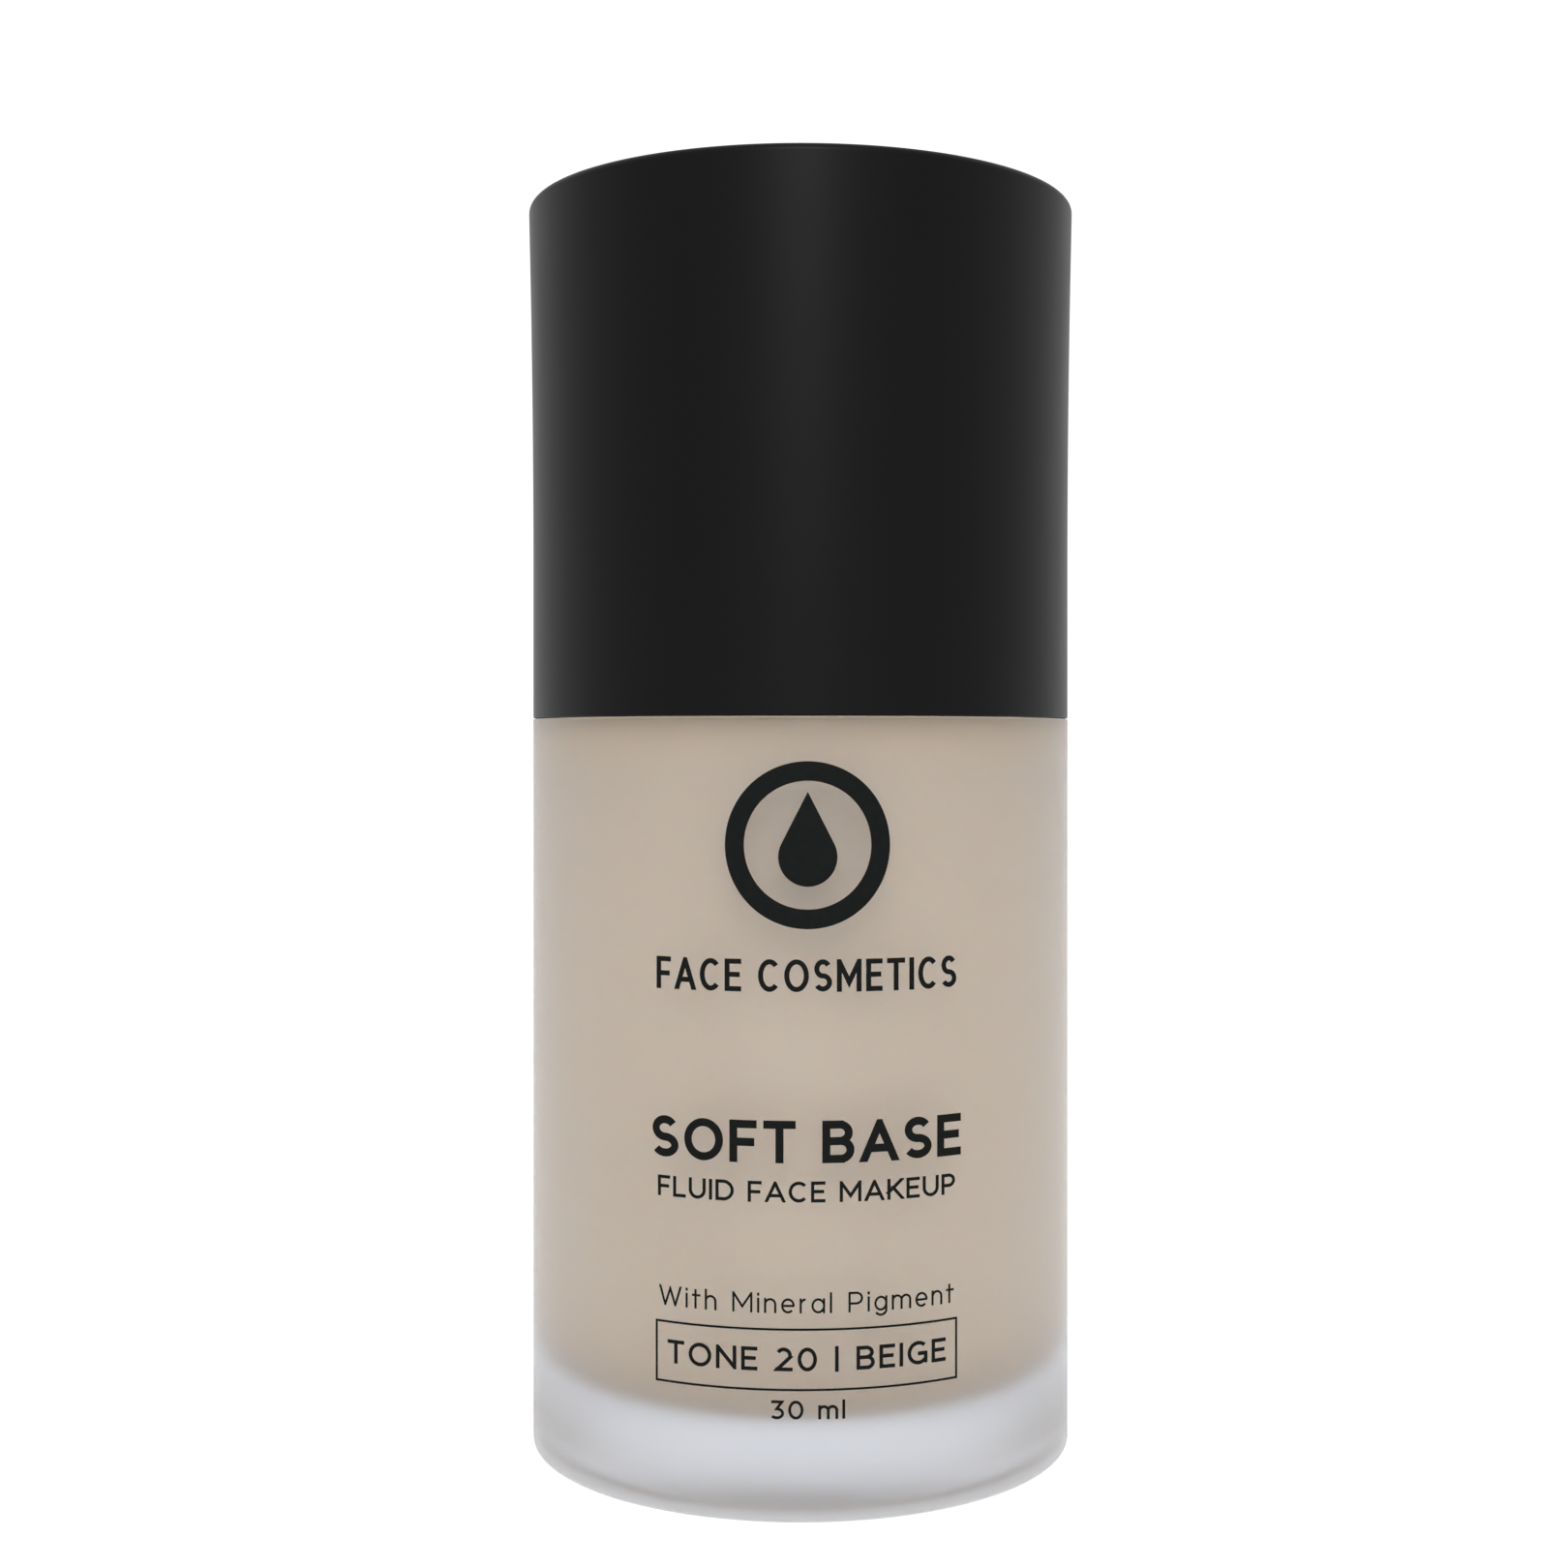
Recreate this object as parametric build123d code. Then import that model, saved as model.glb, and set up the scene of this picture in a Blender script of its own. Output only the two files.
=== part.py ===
"""A 30 ml foundation bottle: thick frosted glass, a screw-on treatment pump and a tall pull-off overcap.

The frame has +Z up, with the origin on the bottle's axis at the plane that it stands on. The pump's
nozzle and the printed front of the bottle face -Y. Lengths are millimetres.
"""
from build123d import *
import math
import os

# Driving dimensions of the outside
BODY_R = 18.5  # glass body
BODY_H = 49.5  # foot to the ledge that the overcap closes on
CAP_H = 35.2  # overcap, rim to top
CAP_TOP_R = 18.8  # the overcap flares a little towards its top
CAP_STRAIGHT = 9.5  # height of the overcap below the flare

# Glass
BASE_T = 4.6  # thick base, at the axis
CAVITY_R = 15.0
CAVITY_CORNER_R = 5.0
CEILING_Z = BODY_H + 1.0  # top of the cavity, at its wall
STEP_R = 16.9  # reduced shoulder that the overcap slides over
STEP_H = 3.0
SHOULDER_Z = BODY_H + STEP_H
NECK_H = 9.0
NECK_R = 7.85  # thread root
NECK_BORE_R = 5.2
NECK_TOP = SHOULDER_Z + NECK_H
FOOT_RING_R = 14.9  # inner edge of the ring that it stands on
RECESS = 0.2  # depth of the hollow inside the ring

# Neck thread, right-handed
PITCH = 3.175  # eight threads to the inch
TURNS = 1.25
NECK_CREST_R = 8.85
CLOSURE_ROOT_R = 9.1
CLOSURE_CREST_R = 8.15
NECK_THREAD_Z = NECK_TOP - 5.9  # centre of the ridge's lower end

# Contents
FILL_Z = BODY_H + 0.5
LIQUID_GAP = 0.02  # between the liquid and the glass
SUNK_GAP = 0.05  # between the liquid and the pump in it

# Fits
RUNNING = 0.06  # radial clearance where one piece slides or turns in another
SNUG = 0.02  # radial clearance of a push fit or a face-to-face seat

# Pump stack above the glass
GASKET_T = 0.8
FLANGE_T = 1.0
GUIDE_FLANGE_T = 0.9
CLOSURE_TOP_T = 1.1
FLANGE_R = 7.3
FLANGE_Z = NECK_TOP + GASKET_T
GUIDE_Z = FLANGE_Z + FLANGE_T
CLOSURE_TOP = GUIDE_Z + GUIDE_FLANGE_T + CLOSURE_TOP_T

# Closure and its sleeve
CLOSURE_R = 10.6
SLEEVE_R = 11.5
SLEEVE_TOP = CLOSURE_TOP + 0.65
TURRET_R = 4.6
TURRET_TOP = SLEEVE_TOP + 0.2

# Pump barrel
BARREL_R = 4.6
BARREL_BORE_R = 3.8
BARREL_FLOOR_Z = 38.6
BALL_SEAT_Z = 34.2  # narrow end of the seat's cone
BALL_R = 1.5
BALL_LIFT = 1.1
TUBE_SOCKET_Z = 27.5
TUBE_R = 1.95
TUBE_BORE_R = 1.35
TUBE_TIP_Z = BASE_T + 0.9
TUBE_SLANT = 30.0  # degrees, so that the tip never seals on the floor

# Plunger
STROKE = 4.5
STEM_R = 2.0
STEM_BORE_R = 1.2
STEM_TOP = 74.0
STEM_FOOT_Z = 54.6
STOP_R = 3.2  # flange that holds the stem in under the guide
GUIDE_FOOT_Z = GUIDE_Z - 2.5
ROD_HEAD_Z = 53.4  # face that the piston seals on
SPRING_TOP = 51.4
PISTON_SLIP = 0.7

# Spring
WIRE_R = 0.3
COIL_R = 2.9  # centre of the wire
COILS = 8.0
RETAINER_TOP = BARREL_FLOOR_Z + 0.8

# Actuator
BUTTON_R = 7.0
BUTTON_FOOT = SLEEVE_TOP + STROKE + 0.2
BUTTON_TOP = 80.4
BUTTON_WALL = 1.0
BOSS_FOOT = TURRET_TOP + STROKE + 0.2
NOZZLE_Z = 76.6
NOZZLE_REACH = 9.6  # from the axis to the spout's face
INSERT_R = 1.5
INSERT_BORE_R = 0.4

# Overcap
CAP_Z = BODY_H + 0.05  # rim, a hair above the ledge
CAP_TOP = BODY_H + CAP_H
CAP_BORE_R = 17.05
CAP_CEILING = CAP_TOP - 1.6
LINER_BORE_R = 11.6
LINER_WALL = 1.1
LINER_FOOT = SHOULDER_Z + 0.6
LINER_TOP = CAP_CEILING - SNUG
LINER_TOP_T = 1.2


def lathe(*corners):
    """A solid turned about Z. Each corner is (radius, height) or (radius, height, fillet)."""
    points = [corner[:2] for corner in corners]
    fillets = [corner[2] if len(corner) > 2 else 0 for corner in corners]
    outline = FilletPolyline(points, radius=fillets, close=True)
    return revolve(Plane.XZ * make_face(outline), Axis.Z)


def tube(outer, inner, low, high):
    """A plain ring between two heights."""
    return lathe((inner, low), (outer, low), (outer, high), (inner, high))


def ridge(base_r, crest_r, base_w, crest_w, low, buried):
    """A helical thread ridge whose base is buried in the wall it stands on; low is its first centre."""
    path = Helix(pitch=PITCH, height=PITCH * TURNS, radius=base_r, center=(0, 0, low))
    rise = crest_r - base_r
    sink = math.copysign(buried, -rise)
    section = Polyline(
        (sink, -base_w / 2),
        (0, -base_w / 2),
        (rise, -crest_w / 2),
        (rise, crest_w / 2),
        (0, base_w / 2),
        (sink, base_w / 2),
        close=True,
    )
    start = Plane(origin=path @ 0, x_dir=(1, 0, 0), z_dir=path % 0)
    return sweep(start * make_face(section), path=path, is_frenet=True)


def cavity(gap, ceiling_r):
    """The inside of the glass, drawn in by a gap; the ceiling runs in to the given radius."""
    wall = CAVITY_R - gap
    return lathe(
        (0, BASE_T + gap),
        (wall, BASE_T + 0.2 + gap, CAVITY_CORNER_R - gap),
        (wall, CEILING_Z - gap, 1.6),
        (ceiling_r, CEILING_Z + 0.6 - gap),
        (0, CEILING_Z + 0.6 - gap),
    )


def glass_bottle():
    """Thick-walled jar of glass with a threaded neck, standing on a flat ring."""
    body = lathe(
        (0, RECESS),
        (FOOT_RING_R - 0.8, RECESS, 0.4),
        (FOOT_RING_R, 0, 0.2),
        (BODY_R, 0, 0.35),
        (BODY_R, BODY_H, 0.1),
        (STEP_R, BODY_H, 0.2),
        (STEP_R, SHOULDER_Z, 1.2),
        (NECK_R, SHOULDER_Z, 0.8),
        (NECK_R, NECK_TOP, 0.45),
        (0, NECK_TOP),
    )
    mouth = lathe(
        (0, CEILING_Z),
        (NECK_BORE_R + 0.5, CEILING_Z),
        (NECK_BORE_R, CEILING_Z + 1.4, 0.6),
        (NECK_BORE_R, NECK_TOP - 0.3),
        (NECK_BORE_R + 0.3, NECK_TOP),
        (0, NECK_TOP),
    )
    thread = ridge(NECK_R, NECK_CREST_R, 2.0, 1.0, NECK_THREAD_Z, 0.4)
    return body - cavity(0, NECK_BORE_R) - mouth + thread


def foundation_liquid():
    """The contents at their level when full."""
    filled = Cylinder(BODY_R, FILL_Z, align=(Align.CENTER, Align.CENTER, Align.MIN))
    return (cavity(LIQUID_GAP, NECK_BORE_R) & filled) - barrel_outline(SUNK_GAP, TUBE_TIP_Z - 0.2)


def barrel_outline(gap, foot):
    """The space that the barrel and the dip tube take in the liquid, with a gap all round."""
    return lathe(
        (0, foot),
        (TUBE_R + gap, foot),
        (TUBE_R + gap, TUBE_SOCKET_Z - gap),
        (3.0 + gap, TUBE_SOCKET_Z - gap),
        (3.3 + gap, BARREL_FLOOR_Z - 1.2 - gap),
        (BARREL_R + gap, BARREL_FLOOR_Z - gap),
        (BARREL_R + gap, FILL_Z + 1),
        (0, FILL_Z + 1),
    )


def dip_tube():
    """A soft tube, slanted at its tip so that it can't seal on the floor."""
    pipe = tube(TUBE_R, TUBE_BORE_R, TUBE_TIP_Z, BALL_SEAT_Z - 0.9)
    cutter = Box(12, 12, 4, align=(Align.CENTER, Align.CENTER, Align.MAX))
    return pipe - Pos(TUBE_R, 0, TUBE_TIP_Z) * Rot(0, TUBE_SLANT, 0) * cutter


def pump_housing():
    """The barrel that hangs in the neck, with the ball's seat and the tube's socket below it."""
    barrel = lathe(
        (TUBE_R + SNUG, TUBE_SOCKET_Z),
        (3.0, TUBE_SOCKET_Z, 0.3),
        (3.3, BARREL_FLOOR_Z - 1.2, 0.5),
        (BARREL_R, BARREL_FLOOR_Z, 0.5),
        (BARREL_R, FLANGE_Z, 0.3),
        (FLANGE_R, FLANGE_Z),
        (FLANGE_R, GUIDE_Z, 0.2),
        (BARREL_BORE_R, GUIDE_Z, 0.3),
        (BARREL_BORE_R, BARREL_FLOOR_Z),
        (2.1, BARREL_FLOOR_Z),
        (2.1, BALL_SEAT_Z + 1.1),
        (1.0, BALL_SEAT_Z),
        (1.0, BALL_SEAT_Z - 0.8),
        (TUBE_R + SNUG, BALL_SEAT_Z - 0.8),
    )
    vent = Pos(BARREL_R, 0, STEM_FOOT_Z + 5.4) * Rot(0, 90, 0) * Cylinder(0.35, 3)
    return barrel - vent


def inlet_ball():
    """The valve that closes the barrel while the pump is pressed."""
    return Pos(0, 0, ball_height()) * Sphere(BALL_R)


def ball_height():
    """The height of the ball's centre when it rests on the 45 degree seat, a hair clear of it."""
    touch_r = BALL_R * math.cos(math.radians(45))
    return BALL_SEAT_Z + (touch_r - 1.0) + touch_r + 0.02


def ball_retainer():
    """The ring that the spring stands on, with a bar across it that stops the ball."""
    ring = tube(BARREL_BORE_R - SNUG, 1.85, BARREL_FLOOR_Z + 0.01, RETAINER_TOP)
    bar_foot = ball_height() + BALL_R + BALL_LIFT + 0.05
    height = RETAINER_TOP - bar_foot
    return ring + Pos(0, 0, bar_foot + height / 2) * Box(3.96, 0.9, height)


def return_spring():
    """A compression spring from the ball's retainer up to the rod's collar."""
    low = RETAINER_TOP + SNUG
    high = SPRING_TOP - SNUG
    path = Helix(
        pitch=(high - low) / COILS,
        height=high - low,
        radius=COIL_R,
        center=(0, 0, low),
    )
    start = Plane(origin=path @ 0, x_dir=(1, 0, 0), z_dir=path % 0)
    coil = sweep(start * Circle(WIRE_R), path=path, is_frenet=True)
    return coil & Pos(0, 0, (low + high) / 2) * Cylinder(COIL_R + 1, high - low)


def piston_rod():
    """The rod that closes the piston from below, with its seat for the spring."""
    turned = lathe(
        (0, SPRING_TOP - 2.0),
        (2.2, SPRING_TOP - 2.0, 0.3),
        (2.2, SPRING_TOP),
        (3.35, SPRING_TOP),
        (3.35, SPRING_TOP + 0.8, 0.2),
        (2.9, SPRING_TOP + 0.8),
        (2.9, ROD_HEAD_Z, 0.15),
        (1.0, ROD_HEAD_Z),
        (1.0, STEM_FOOT_Z + 7.0, 0.3),
        (0, STEM_FOOT_Z + 7.0),
    )
    spline_low = STEM_FOOT_Z + 0.9
    spline_h = 5.0
    spline_t = 0.6
    spline_w = 2 * math.sqrt((STEM_BORE_R - SNUG) ** 2 - (spline_t / 2) ** 2)
    for angle in (0, 90):
        spline = Rot(0, 0, angle) * Box(spline_w, spline_t, spline_h)
        turned += Pos(0, 0, spline_low + spline_h / 2) * spline
    return turned


def piston_seal():
    """The sliding piston: a hub on the stem with a thin lip up and a thin lip down."""
    lip_r = BARREL_BORE_R - SNUG
    hub_r = 2.75
    inner = STEM_R + 0.04
    foot = ROD_HEAD_Z + 0.02
    top = STEM_FOOT_Z + 5.0 - PISTON_SLIP - 0.02
    return lathe(
        (inner, foot),
        (hub_r, foot),
        (hub_r, foot + 1.2),
        (lip_r - 0.35, foot + 0.1),
        (lip_r, foot + 0.1),
        (lip_r, foot + 1.0),
        (hub_r + 0.35, foot + 2.2, 0.3),
        (hub_r + 0.35, top - 2.0, 0.3),
        (lip_r, top - 0.9),
        (lip_r, top),
        (lip_r - 0.35, top),
        (hub_r, top - 1.2),
        (hub_r, top),
        (inner, top),
    )


def pump_stem():
    """The hollow stem that carries the button, with a stop flange under the guide."""
    stop_low = STEM_FOOT_Z + 5.0
    return lathe(
        (STEM_BORE_R, STEM_FOOT_Z),
        (STEM_R, STEM_FOOT_Z),
        (STEM_R, stop_low),
        (STOP_R, stop_low),
        (STOP_R, GUIDE_FOOT_Z - 0.02, 0.2),
        (STEM_R, GUIDE_FOOT_Z - 0.02),
        (STEM_R, STEM_TOP, 0.25),
        (STEM_BORE_R, STEM_TOP),
    )


def stem_guide():
    """Snaps into the barrel's mouth, holds the plunger in and stands up through the closure."""
    bore = STEM_R + RUNNING
    return lathe(
        (bore, GUIDE_FOOT_Z, 0.15),
        (BARREL_BORE_R - SNUG, GUIDE_FOOT_Z, 0.2),
        (BARREL_BORE_R - SNUG, GUIDE_Z + 0.01),
        (FLANGE_R, GUIDE_Z + 0.01),
        (FLANGE_R, GUIDE_Z + GUIDE_FLANGE_T, 0.2),
        (TURRET_R, GUIDE_Z + GUIDE_FLANGE_T),
        (TURRET_R, TURRET_TOP, 0.4),
        (bore, TURRET_TOP, 0.2),
    )


def neck_gasket():
    """The foam ring between the glass lip and the pump's flange."""
    return tube(FLANGE_R + 0.1, BARREL_R + 0.4, NECK_TOP + 0.01, FLANGE_Z - 0.01)


def screw_collar():
    """The threaded closure that clamps the pump's flange on the glass."""
    cup = lathe(
        (CLOSURE_ROOT_R, SHOULDER_Z + 0.5, 0.2),
        (CLOSURE_R, SHOULDER_Z + 0.5, 0.2),
        (CLOSURE_R, CLOSURE_TOP, 0.4),
        (TURRET_R + RUNNING, CLOSURE_TOP, 0.1),
        (TURRET_R + RUNNING, CLOSURE_TOP - CLOSURE_TOP_T + 0.02),
        (CLOSURE_ROOT_R - 0.8, CLOSURE_TOP - CLOSURE_TOP_T + 0.02),
        (CLOSURE_ROOT_R - 0.8, NECK_TOP + 0.6, 0.2),
        (CLOSURE_ROOT_R, NECK_TOP - 0.4, 0.2),
    )
    # The closure's ridge bears up under the neck's ridge, 0.1 mm clear of it.
    neck_half, own_half = 0.825, 0.45
    low = NECK_THREAD_Z - neck_half - own_half - 0.1
    return cup + ridge(CLOSURE_ROOT_R, CLOSURE_CREST_R, 1.7, 0.9, low, 0.4)


def collar_sleeve():
    """The smooth sleeve pressed over the closure."""
    inner = CLOSURE_R + SNUG
    return lathe(
        (inner, SHOULDER_Z + 0.35),
        (SLEEVE_R, SHOULDER_Z + 0.35, 0.15),
        (SLEEVE_R, SLEEVE_TOP, 0.6),
        (TURRET_R + 1.6, SLEEVE_TOP, 0.15),
        (TURRET_R + 1.6, CLOSURE_TOP + 0.02),
        (inner, CLOSURE_TOP + 0.02, 0.3),
    )


def actuator_button():
    """The finger button, with its socket on the stem and its spout towards -Y."""
    inner = BUTTON_R - BUTTON_WALL
    socket_r = STEM_R + SNUG
    roof = BUTTON_TOP - 0.75 - BUTTON_WALL
    body = lathe(
        (socket_r, BOSS_FOOT, 0.1),
        (3.1, BOSS_FOOT, 0.2),
        (3.1, roof, 0.3),
        (inner, roof, 0.3),
        (inner, BUTTON_FOOT),
        (BUTTON_R, BUTTON_FOOT, 0.2),
        (BUTTON_R, BUTTON_TOP, 1.0),
        (0, BUTTON_TOP),
        (0, NOZZLE_Z + 1.0),
        (1.0, NOZZLE_Z + 1.0),
        (1.0, STEM_TOP + 0.05),
        (socket_r, STEM_TOP + 0.05),
    )
    spout_root = 2.5
    spout = Plane.XZ * Pos(0, NOZZLE_Z, (spout_root + NOZZLE_REACH) / 2) * Cone(
        2.9, 2.2, NOZZLE_REACH - spout_root
    )
    riser = Pos(0, 0, (STEM_TOP + NOZZLE_Z) / 2 + 0.5) * Cylinder(1.0, NOZZLE_Z - STEM_TOP + 1.0)
    dish_r = 26.0
    dish = Pos(0, 0, BUTTON_TOP - 0.75 + dish_r) * Sphere(dish_r)
    seat = along_spout(INSERT_R + SNUG, NOZZLE_REACH - 2.3, NOZZLE_REACH + 1)
    return body + spout - dish - riser - along_spout(0.8, 0, NOZZLE_REACH) - seat


def along_spout(radius, near, far):
    """A cylinder on the spout's axis, between two distances from the pump's axis."""
    return Plane.XZ * Pos(0, NOZZLE_Z, (near + far) / 2) * Cylinder(radius, far - near)


def nozzle_insert():
    """The small plug in the spout that sets the size of the outlet."""
    near, far = NOZZLE_REACH - 2.28, NOZZLE_REACH + 0.15
    plug = along_spout(INSERT_R, near, far)
    cup = along_spout(0.9, near - 1, near + 1.2)
    orifice = along_spout(INSERT_BORE_R, near, far + 1)
    return plug - cup - orifice


def overcap_shell():
    """A straight skirt that flares gently to the top, on one long arc."""
    rise = CAP_TOP - 0.5 - (CAP_Z + CAP_STRAIGHT)
    flare = CAP_TOP_R - BODY_R
    flare_r = (rise**2 + flare**2) / (2 * flare)
    flare_deg = math.degrees(math.asin(rise / flare_r))
    rim = Line((BODY_R - 0.1, CAP_Z), (BODY_R, CAP_Z + 0.1))
    skirt = Line(rim @ 1, (BODY_R, CAP_Z + CAP_STRAIGHT))
    bow = CenterArc((BODY_R + flare_r, CAP_Z + CAP_STRAIGHT), flare_r, 180, -flare_deg)
    shoulder = TangentArc(bow @ 1, (CAP_TOP_R - 0.5, CAP_TOP), tangent=bow % 1)
    rest = Polyline(
        shoulder @ 1,
        (0, CAP_TOP),
        (0, CAP_CEILING),
        (CAP_BORE_R, CAP_CEILING),
        (CAP_BORE_R, CAP_Z + 0.2),
        (CAP_BORE_R + 0.2, CAP_Z),
        rim @ 0,
    )
    face = make_face(rim + skirt + bow + shoulder + rest)
    return revolve(Plane.XZ * face, Axis.Z)


def overcap_liner():
    """The inner cup that grips the collar sleeve, held in the shell by its flange and its top."""
    outer = LINER_BORE_R + LINER_WALL
    seat = CAP_BORE_R - SNUG
    return lathe(
        (LINER_BORE_R, LINER_FOOT, 0.3),
        (seat, LINER_FOOT, 0.2),
        (seat, LINER_FOOT + 1.0),
        (outer, LINER_FOOT + 1.0, 0.3),
        (outer, LINER_TOP, 0.4),
        (0, LINER_TOP),
        (0, LINER_TOP - LINER_TOP_T),
        (LINER_BORE_R, LINER_TOP - LINER_TOP_T, 0.4),
    )


PARTS = [
    glass_bottle,
    foundation_liquid,
    dip_tube,
    pump_housing,
    inlet_ball,
    ball_retainer,
    return_spring,
    piston_rod,
    piston_seal,
    pump_stem,
    stem_guide,
    neck_gasket,
    screw_collar,
    collar_sleeve,
    actuator_button,
    nozzle_insert,
    overcap_shell,
    overcap_liner,
]

os.makedirs("parts", exist_ok=True)
for make in PARTS:
    shape = make()
    export_step(shape, f"parts/{make.__name__}.step")
    print(f"{make.__name__}: {shape.volume / 1000:.3f} ml")
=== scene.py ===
"""The looks of the foundation bottle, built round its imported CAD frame.

Helpers and outlines work in millimetres, and meshes are written in metres. The front of the bottle,
with its print and the pump's spout, faces -Y.
"""

import math

import bpy
from mathutils import Matrix, Vector, geometry


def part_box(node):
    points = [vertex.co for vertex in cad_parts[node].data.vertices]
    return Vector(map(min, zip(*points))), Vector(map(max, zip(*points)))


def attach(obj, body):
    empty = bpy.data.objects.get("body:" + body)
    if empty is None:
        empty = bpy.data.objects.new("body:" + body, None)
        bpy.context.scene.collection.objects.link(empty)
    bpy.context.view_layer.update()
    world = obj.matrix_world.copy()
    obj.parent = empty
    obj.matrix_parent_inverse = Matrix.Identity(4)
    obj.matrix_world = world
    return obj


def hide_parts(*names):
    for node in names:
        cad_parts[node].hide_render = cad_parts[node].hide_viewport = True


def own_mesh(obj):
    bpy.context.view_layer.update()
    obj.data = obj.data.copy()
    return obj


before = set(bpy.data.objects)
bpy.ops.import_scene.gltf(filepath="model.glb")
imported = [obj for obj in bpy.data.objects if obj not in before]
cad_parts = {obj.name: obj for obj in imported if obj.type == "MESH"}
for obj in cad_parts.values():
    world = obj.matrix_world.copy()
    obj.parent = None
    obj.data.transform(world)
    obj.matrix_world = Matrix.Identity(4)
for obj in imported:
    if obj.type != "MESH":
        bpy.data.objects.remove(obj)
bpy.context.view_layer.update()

MM = 0.001
ROUND = 256  # facets round a turned piece
ARC_STEP = 9.0  # degrees between the points of a fillet

# Sizes read from the frame, in millimetres
glass_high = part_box("glass_bottle")[1] / MM
cap_low, cap_high = (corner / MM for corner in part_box("overcap_shell"))
liquid_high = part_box("foundation_liquid")[1] / MM
BODY_R = glass_high.x
NECK_TOP = glass_high.z
CAP_Z = cap_low.z
CAP_TOP = cap_high.z
CAP_TOP_R = cap_high.x
CAVITY_R = liquid_high.x + 0.02
FILL_Z = liquid_high.z
BODY_H = CAP_Z - 0.05

# Glass and contents, in millimetres
STEP_R = 16.9  # the shoulder, inside the overcap's skirt
SHOULDER_Z = NECK_TOP - 9.0
NECK_R = 7.85
NECK_BORE_R = 5.2
CEILING_Z = BODY_H + 1.0  # where the cavity's wall meets its roof
ROOF_RISE = 0.9  # from there to the neck's bore
BASE_T = 4.6
CAVITY_CORNER_R = 5.0
FOOT_RING_R = 14.9
RECESS = 0.2
LIQUID_BITE = 0.03  # how far the liquid's skin lies inside the wall that it wets
TUBE_ROOM_R = 2.0  # the room in the liquid for the dip tube
WELL_FLOOR = BASE_T + 0.85  # just below the dip tube's tip
BARREL_ROOM = ((4.66, 38.5), (3.4, 37.3), (3.1, 27.4))  # (radius, height) down the pump's barrel

# The neck's thread
PITCH = 3.175
TURNS = 1.25
THREAD_LOW = NECK_TOP - 5.9
THREAD_RISE = 1.0
THREAD_CREST = 0.5  # half widths of the ridge
THREAD_ROOT = 1.0
THREAD_RUN_OUT = 25.0  # degrees over which the ridge dies away at each end

# Overcap
CAP_STRAIGHT = 9.5  # height of the skirt below the flare
CAP_BORE_R = 17.05
CAP_CEILING = CAP_TOP - 1.6
FLARE_STEPS = 14
CAP_DISH = ((16.0, 0.02), (8.0, 0.035), (0, 0.04))  # (radius, depth) of the hollow in its top

# Front print
WORD_GAP = 0.34  # width of a space, in capital heights
PEN_CHORD = 0.05  # between points along an arc
COLUMN = 0.3  # between the cuts that let the ink follow the glass
INK_T = 0.03

# Return spring
WIRE_R = 0.3
GROUND = 0.12  # taken off each end
COILS = 8
COIL_STEPS = 60  # stations per coil
WIRE_FACETS = 14
CLOSED_COILS = 0.75  # at each end, before the coils open

# Stage and camera
FLOOR_REACH = 6000
FLOOR_GAP = 0.02  # under the foot
CAMERA_AWAY = 152.0
CAMERA_HIGH = 47.9
CAMERA_TURN = 1.4  # degrees to the left of the print's middle


# ---------------------------------------------------------------- turned pieces


def outline(*corners):
    """A closed (radius, height) outline. Each corner is (radius, height) or (radius, height, fillet)."""
    points = []
    for index, corner in enumerate(corners):
        here = Vector(corner[:2])
        fillet = corner[2] if len(corner) > 2 else 0
        if not fillet:
            points.append(here)
            continue
        before = (Vector(corners[index - 1][:2]) - here).normalized()
        after = (Vector(corners[(index + 1) % len(corners)][:2]) - here).normalized()
        half = before.angle(after) / 2
        centre = here + (before + after).normalized() * (fillet / math.sin(half))
        start = here + before * (fillet / math.tan(half)) - centre
        end = here + after * (fillet / math.tan(half)) - centre
        sweep = -start.angle_signed(end)
        steps = max(2, math.ceil(abs(math.degrees(sweep)) / ARC_STEP))
        for step in range(steps + 1):
            turned = Matrix.Rotation(sweep * step / steps, 2) @ start
            points.append(centre + turned)
    return points


def run_between(start, end, step):
    """Points from start to end, without the end, no further apart than the step."""
    start, end = Vector(start), Vector(end)
    count = max(1, math.ceil((end - start).length / step))
    return [start.lerp(end, index / count) for index in range(count)]


def add_mesh(name, verts, faces, material, smooth_deg=35.0):
    """A mesh object from vertices in millimetres, smooth except across sharp edges."""
    mesh = bpy.data.meshes.new(name)
    mesh.from_pydata([Vector(v) * MM for v in verts], [], faces)
    mesh.validate()
    mesh.shade_smooth()
    mesh.set_sharp_from_angle(angle=math.radians(smooth_deg))
    piece = bpy.data.objects.new(name, mesh)
    bpy.context.scene.collection.objects.link(piece)
    mesh.materials.append(material)
    return piece


def lathe(name, points, material, swell=None):
    """Turns a closed outline about Z. swell(radius, height, angle) may move a point's radius."""
    verts, rings = [], []
    for radius, height in points:
        if radius < 1e-6:
            rings.append([len(verts)] * ROUND)
            verts.append((0, 0, height))
            continue
        rings.append(list(range(len(verts), len(verts) + ROUND)))
        for facet in range(ROUND):
            angle = math.tau * facet / ROUND
            reach = swell(radius, height, angle) if swell else radius
            verts.append((reach * math.cos(angle), reach * math.sin(angle), height))
    faces = []
    for low, high in zip(rings, rings[1:] + rings[:1]):
        for facet in range(ROUND):
            ahead = (facet + 1) % ROUND
            corners = [low[facet], low[ahead], high[ahead], high[facet]]
            corners = list(dict.fromkeys(corners))  # a ring on the axis is one point
            if len(corners) > 2:
                faces.append(corners)
    piece = add_mesh(name, verts, faces, material)
    weigh_normals(piece)
    return piece


def weigh_normals(piece):
    """Flats keep a flat shade right up to their fillets."""
    weighted = piece.modifiers.new("flat_faces", "WEIGHTED_NORMAL")
    weighted.weight = 100
    weighted.keep_sharp = True


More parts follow.
